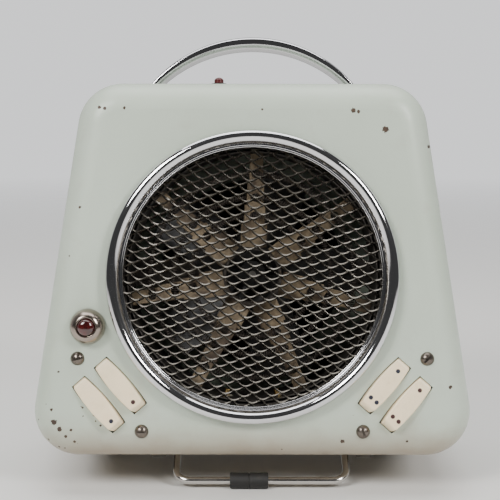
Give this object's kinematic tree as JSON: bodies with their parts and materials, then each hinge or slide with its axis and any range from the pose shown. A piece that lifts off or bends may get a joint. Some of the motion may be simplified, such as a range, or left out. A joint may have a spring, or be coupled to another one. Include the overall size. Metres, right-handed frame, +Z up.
{
  "type": "portable fan heater",
  "caption": "Portable fan heater: tapered steel case, round mesh grille in a chrome ring, arched handle, rocker switches, pilot lamp and a fold-out wire stand.",
  "frame": {"origin": "centre of the bounding box at its lowest face, on the table the heater stands on", "axes": "+Z up, front of the heater towards -Y, +X to the right seen from the front; the casing leans back 7 degrees on its stand"},
  "size_m": [0.2806, 0.1628, 0.2929],
  "materials": {
    "casing_paint": "satin stoved enamel, worn",
    "chrome": "polished",
    "wire_chrome": "polished, dulled",
    "zinc_steel": "plain",
    "fixings": "plain",
    "switch_screw": "tarnished",
    "grille_steel": "aged, satin",
    "mica": "matt, layered",
    "ceramic": "matt",
    "resistance_wire": "oxidised",
    "fan_alloy": "plain",
    "shaft_steel": "ground",
    "laminations": "oiled",
    "winding": "varnished tape",
    "bronze": "plain",
    "ivory": "aged gloss",
    "bakelite": "moulded",
    "red_plastic": "gloss",
    "red_jewel": "clear, dark",
    "bulb_glass": "clear",
    "foam": "open-cell foam",
    "rubber": "matt"
  },
  "bodies": {
    "heater": {"air_duct": "zinc_steel", "bail_clips": "zinc_steel", "bezel_nuts": "fixings", "bezel_ring": "chrome", "clip_rivets": "fixings", "cover_brackets": "zinc_steel", "cover_screws": "fixings", "cross_bar_screws": "fixings", "dust_filter": "foam", "earth_screw": "bronze", "element_band": "zinc_steel", "element_screws": "fixings", "element_terminals": "bronze", "foot_screws": "fixings", "front_bearing_bracket": "zinc_steel", "front_casing": "casing_paint", "front_grille": "grille_steel", "grille_clamp_ring": "zinc_steel", "handle": "chrome", "handle_screws": "fixings", "heater_coil_inner": "resistance_wire", "heater_coil_middle": "resistance_wire", "heater_coil_outer": "resistance_wire", "inlet_pins": "bronze", "mains_inlet": "bakelite", "mica_core": "mica", "mica_vanes": "mica", "motor_bushes": "bronze", "motor_coil": "winding", "motor_cross_bar": "zinc_steel", "motor_grommets": "rubber", "motor_screws": "fixings", "motor_stator": "laminations", "pilot_bezel": "chrome", "pilot_bulb": "bulb_glass", "pilot_holder": "bakelite", "pilot_lens": "red_jewel", "rear_bearing_bracket": "zinc_steel", "rear_cover": "casing_paint", "rear_feet": "rubber", "reset_collar": "chrome", "rocker_pins": "fixings", "switch_block_left": "bakelite", "switch_block_right": "bakelite", "switch_screws": "switch_screw", "terminal_block": "bakelite", "terminal_bushes": "ceramic", "terminal_screws": "fixings", "thermal_cutout": "bakelite"},
    "fan_unit": {"fan": "fan_alloy", "hub_screw": "fixings", "motor_shaft": "shaft_steel", "motor_rotor": "shaft_steel"},
    "stand": {"stand_bail": "wire_chrome", "stand_sleeve": "rubber"},
    "rocker_1": {"rocker_left_outer": "ivory"},
    "rocker_2": {"rocker_left_inner": "ivory"},
    "rocker_3": {"rocker_right_inner": "ivory"},
    "rocker_4": {"rocker_right_outer": "ivory"},
    "button": {"reset_button": "red_plastic"}
  },
  "joints": [
    {"name": "fan_spin", "type": "hinge", "parent": "heater", "child": "fan_unit", "pos_m": [0, -0.0081, 0.13418], "axis": [0, -0.9925, 0.1219], "continuous": true},
    {"name": "stand_fold", "type": "hinge", "parent": "heater", "child": "stand", "pos_m": [0, -0.0295, 0.01731], "axis": [1, 0, 0], "range_deg": [0, 140]},
    {"name": "rocker_1_rock", "type": "hinge", "parent": "heater", "child": "rocker_1", "pos_m": [-0.09709, -0.06656, 0.06012], "axis": [0.7524, 0.0803, 0.6538], "range_deg": [0, 14]},
    {"name": "rocker_2_rock", "type": "hinge", "parent": "heater", "child": "rocker_2", "pos_m": [-0.08332, -0.06509, 0.07209], "axis": [0.7524, 0.0803, 0.6538], "range_deg": [0, 14]},
    {"name": "rocker_3_rock", "type": "hinge", "parent": "heater", "child": "rocker_3", "pos_m": [0.08332, -0.06509, 0.07209], "axis": [0.7524, -0.0803, -0.6538], "range_deg": [0, 14]},
    {"name": "rocker_4_rock", "type": "hinge", "parent": "heater", "child": "rocker_4", "pos_m": [0.09709, -0.06656, 0.06012], "axis": [0.7524, -0.0803, -0.6538], "range_deg": [0, 14]},
    {"name": "reset_press", "type": "slide", "parent": "heater", "child": "button", "axis": [0, -0.1219, -0.9925], "range_m": [0, 0.002], "stiffness_N_per_m": 300, "springref_m": -0.001}
  ]
}
